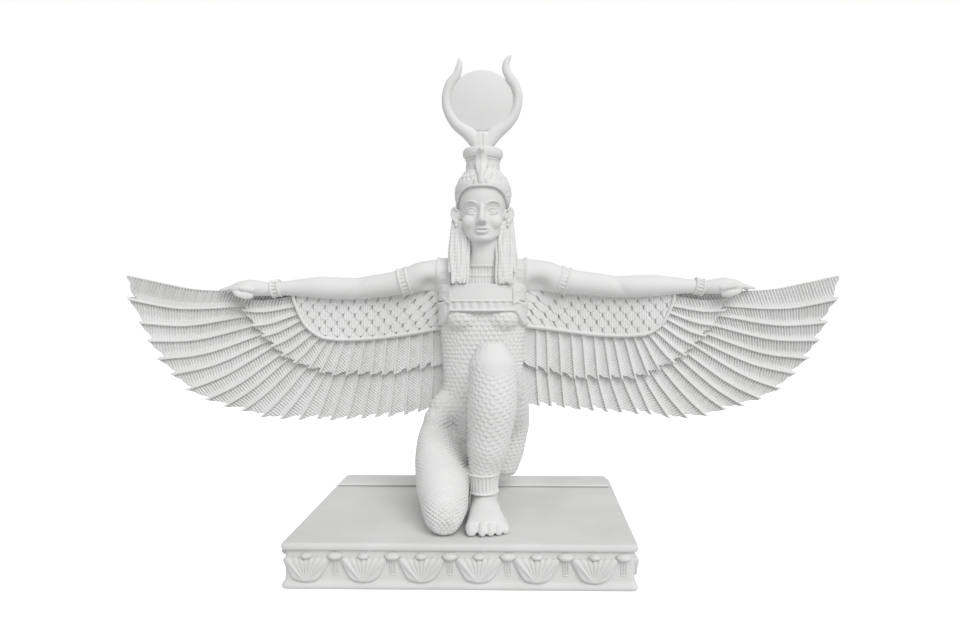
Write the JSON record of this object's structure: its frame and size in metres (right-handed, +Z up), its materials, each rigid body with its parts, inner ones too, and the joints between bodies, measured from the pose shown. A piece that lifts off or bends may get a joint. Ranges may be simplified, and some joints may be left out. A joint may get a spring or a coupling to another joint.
{
  "type": "winged kneeling goddess figurine",
  "caption": "Cast figurine of a kneeling goddess with outspread feathered wings and a horned sun-disc crown, on a rectangular plinth with a lotus frieze.",
  "frame": {"origin": "on the surface the plinth stands on, under the middle of the bounding box", "axes": "+X along the wings, towards the right as seen from the front; the figure looks along -Y; +Z up"},
  "size_m": [0.3188, 0.088, 0.2053],
  "materials": {
    "figure_cast": "matte",
    "plinth_cast": "matte"
  },
  "bodies": {
    "root": {"figure": "figure_cast", "plinth": "plinth_cast"}
  },
  "joints": []
}
